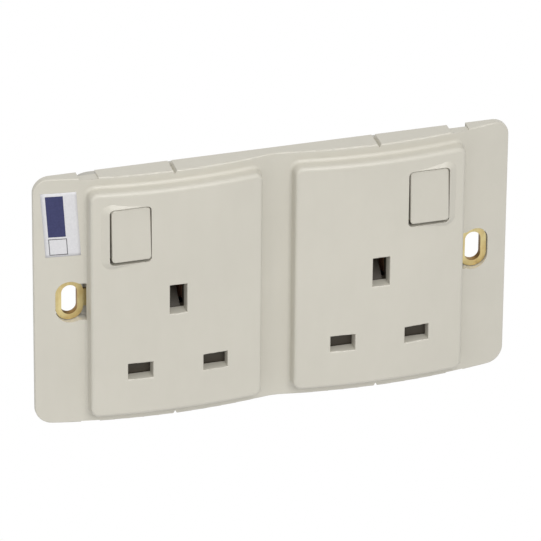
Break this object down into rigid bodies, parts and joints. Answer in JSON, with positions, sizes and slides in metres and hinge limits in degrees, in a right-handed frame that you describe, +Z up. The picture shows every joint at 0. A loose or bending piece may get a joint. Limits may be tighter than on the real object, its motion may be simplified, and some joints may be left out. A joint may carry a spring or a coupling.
{
  "type": "twin switched socket outlet",
  "caption": "Twin flush socket mechanism with crowned pads, rocker switches, shuttered rectangular pin apertures, oval fixing slots and a screwed rear housing.",
  "frame": {"origin": "midway between the two fixing slots, on the rear plane of the plate", "axes": "+X to the right seen from the front, -Y out of the wall towards the user, +Z up"},
  "size_m": [0.141, 0.0286, 0.0798],
  "materials": {
    "face_plastic": "satin, warm off-white",
    "rocker_plastic": "satin, warm off-white",
    "housing_plastic": "matt, light grey",
    "shutter_plastic": "matt, grey",
    "brass": "rolled strip",
    "contact_silver": "silver alloy",
    "spring_steel": "drawn wire",
    "screw_steel": "zinc plated"
  },
  "bodies": {
    "mechanism": {"front_plate": "face_plastic", "rear_housing": "housing_plastic", "left_fixed_contact": "contact_silver", "left_line_contact": "brass", "left_earth_clip": "brass", "left_shutter_spring": "spring_steel", "right_fixed_contact": "contact_silver", "right_line_contact": "brass", "right_earth_clip": "brass", "right_shutter_spring": "spring_steel", "neutral_bar": "brass", "line_feed_bar": "brass", "earth_strap": "brass", "line_terminal": "brass", "upper_earth_terminal": "brass", "lower_earth_terminal": "brass", "neutral_terminal": "brass", "terminal_screws": "screw_steel", "housing_screws": "screw_steel"},
    "left_rocker_body": {"left_rocker": "rocker_plastic", "left_plunger_spring": "spring_steel"},
    "left_plunger_body": {"left_plunger": "shutter_plastic"},
    "left_blade_body": {"left_switch_blade": "brass", "left_moving_contact": "contact_silver"},
    "left_shutter_body": {"left_shutter": "shutter_plastic"},
    "right_rocker_body": {"right_rocker": "rocker_plastic", "right_plunger_spring": "spring_steel"},
    "right_plunger_body": {"right_plunger": "shutter_plastic"},
    "right_blade_body": {"right_switch_blade": "brass", "right_moving_contact": "contact_silver"},
    "right_shutter_body": {"right_shutter": "shutter_plastic"}
  },
  "joints": [
    {"name": "left_rocker_tilt", "type": "hinge", "parent": "mechanism", "child": "left_rocker_body", "pos_m": [-0.0442, -0.005, 0.0226], "axis": [1, 0, 0], "range_deg": [0, 8]},
    {"name": "left_plunger_slide", "type": "slide", "parent": "left_rocker_body", "child": "left_plunger_body", "axis": [0, -0.9976, 0.0698], "range_m": [0, 0.001], "stiffness_N_per_m": 300, "springref_m": -0.0006, "deforming": ["left_plunger_spring"]},
    {"name": "left_blade_tilt", "type": "hinge", "parent": "mechanism", "child": "left_blade_body", "pos_m": [-0.0442, 0.007, 0.0226], "axis": [1, 0, 0], "range_deg": [-16, 0]},
    {"name": "left_shutter_slide", "type": "slide", "parent": "mechanism", "child": "left_shutter_body", "axis": [0, 0, -1], "range_m": [0, 0.0054], "stiffness_N_per_m": 40, "springref_m": -0.004, "deforming": ["left_shutter_spring"]},
    {"name": "right_rocker_tilt", "type": "hinge", "parent": "mechanism", "child": "right_rocker_body", "pos_m": [0.0442, -0.005, 0.0226], "axis": [1, 0, 0], "range_deg": [0, 8]},
    {"name": "right_plunger_slide", "type": "slide", "parent": "right_rocker_body", "child": "right_plunger_body", "axis": [0, -0.9976, 0.0698], "range_m": [0, 0.001], "stiffness_N_per_m": 300, "springref_m": -0.0006, "deforming": ["right_plunger_spring"]},
    {"name": "right_blade_tilt", "type": "hinge", "parent": "mechanism", "child": "right_blade_body", "pos_m": [0.0442, 0.007, 0.0226], "axis": [1, 0, 0], "range_deg": [-16, 0]},
    {"name": "right_shutter_slide", "type": "slide", "parent": "mechanism", "child": "right_shutter_body", "axis": [0, 0, -1], "range_m": [0, 0.0054], "stiffness_N_per_m": 40, "springref_m": -0.004, "deforming": ["right_shutter_spring"]}
  ],
  "couplings": [
    {"joint": "left_blade_tilt", "follows": "left_rocker_tilt", "ratio": -2},
    {"joint": "right_blade_tilt", "follows": "right_rocker_tilt", "ratio": -2}
  ]
}
